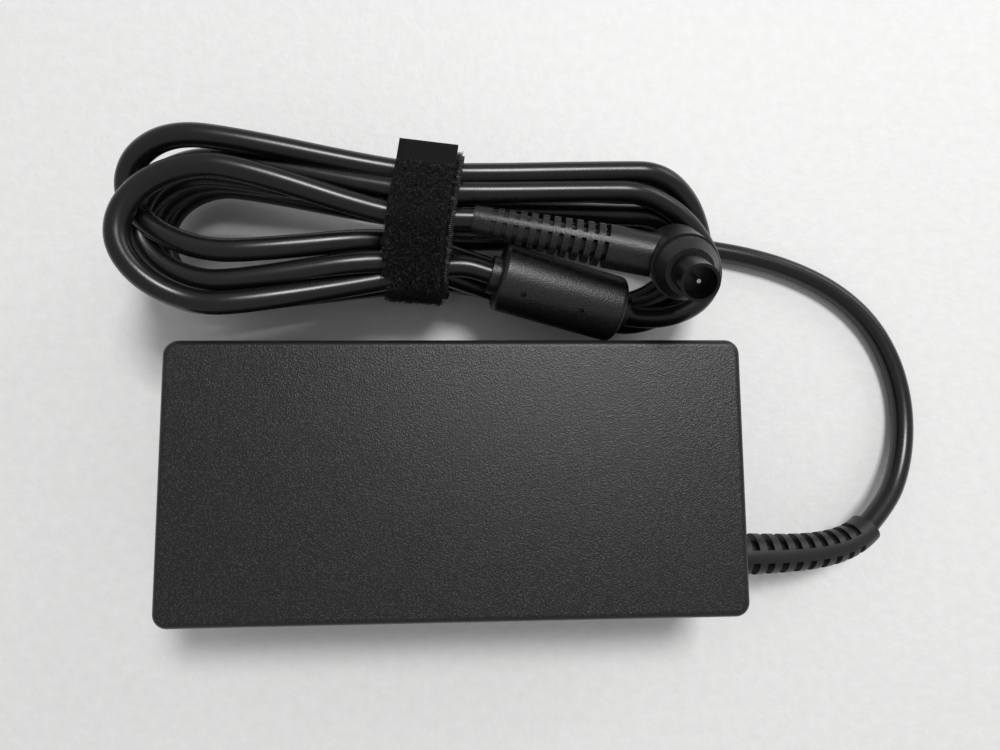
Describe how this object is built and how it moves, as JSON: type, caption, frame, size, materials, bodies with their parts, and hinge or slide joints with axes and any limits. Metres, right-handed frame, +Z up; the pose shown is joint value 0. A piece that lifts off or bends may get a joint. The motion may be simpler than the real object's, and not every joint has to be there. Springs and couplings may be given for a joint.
{
  "type": "laptop power adapter",
  "caption": "Power supply brick with a recessed mains inlet, an output cord tied in a hank by a hook-and-loop strap, a ferrite barrel and a right-angle barrel plug.",
  "frame": {"origin": "bottom centre of the case, on the surface that it stands on", "axes": "+X towards the output cord end of the case, +Y towards the tied cord, +Z up"},
  "size_m": [0.1866, 0.1012, 0.0464],
  "materials": {
    "case_plastic": "fine spark-eroded grain",
    "label_film": "blank matt film",
    "inlet_plastic": "smooth moulded",
    "plated_metal": "bright plated",
    "board_laminate": "green solder mask",
    "insulating_film": "milky film",
    "aluminium": "mill finish",
    "device_black": "moulded epoxy",
    "device_white": "moulded epoxy",
    "yellow_case": "moulded box",
    "ferrite_ceramic": "dull sintered",
    "copper_wire": "enamelled wire",
    "capacitor_sleeve": "shrink sleeve",
    "blue_ceramic": "dipped coating",
    "bobbin_plastic": "moulded phenolic",
    "winding_tape": "polyester tape",
    "brown_wire": "insulation",
    "blue_wire": "insulation",
    "green_wire": "insulation",
    "red_wire": "insulation",
    "boot_rubber": "satin moulded",
    "cord_pvc": "satin extruded",
    "hook_and_loop": "looped pile",
    "moulded_black": "grained overmould",
    "black_metal": "blackened",
    "insulator_black": "moulded"
  },
  "bodies": {
    "root": {"bottom_shell": "case_plastic", "top_shell": "case_plastic", "rating_label": "label_film", "inlet_housing": "inlet_plastic", "live_blade": "plated_metal", "neutral_blade": "plated_metal", "earth_blade": "plated_metal", "circuit_board": "board_laminate", "insulating_sheet": "insulating_film", "heat_spreader": "aluminium", "fuse": "device_black", "x_capacitor": "yellow_case", "bridge_rectifier": "device_black", "choke_core": "ferrite_ceramic", "choke_windings": "copper_wire", "bulk_capacitor": "capacitor_sleeve", "y_capacitor": "blue_ceramic", "primary_heatsink": "aluminium", "primary_transistor": "device_black", "transformer_core": "ferrite_ceramic", "transformer_bobbin": "bobbin_plastic", "transformer_winding": "winding_tape", "secondary_heatsink": "aluminium", "output_rectifier": "device_black", "heatsink_screws": "plated_metal", "output_capacitors": "capacitor_sleeve", "output_choke": "ferrite_ceramic", "controller_chip": "device_black", "optocoupler": "device_white", "live_wire": "brown_wire", "neutral_wire": "blue_wire", "earth_wire": "green_wire", "output_wires": "red_wire", "dc_boot": "boot_rubber", "dc_lead": "cord_pvc", "cord_hank": "cord_pvc", "cable_tie": "hook_and_loop", "ferrite_housing": "moulded_black", "ferrite_core": "ferrite_ceramic", "plug_housing": "moulded_black", "plug_barrel": "black_metal", "plug_insulator": "insulator_black", "centre_pin": "plated_metal"}
  },
  "joints": []
}
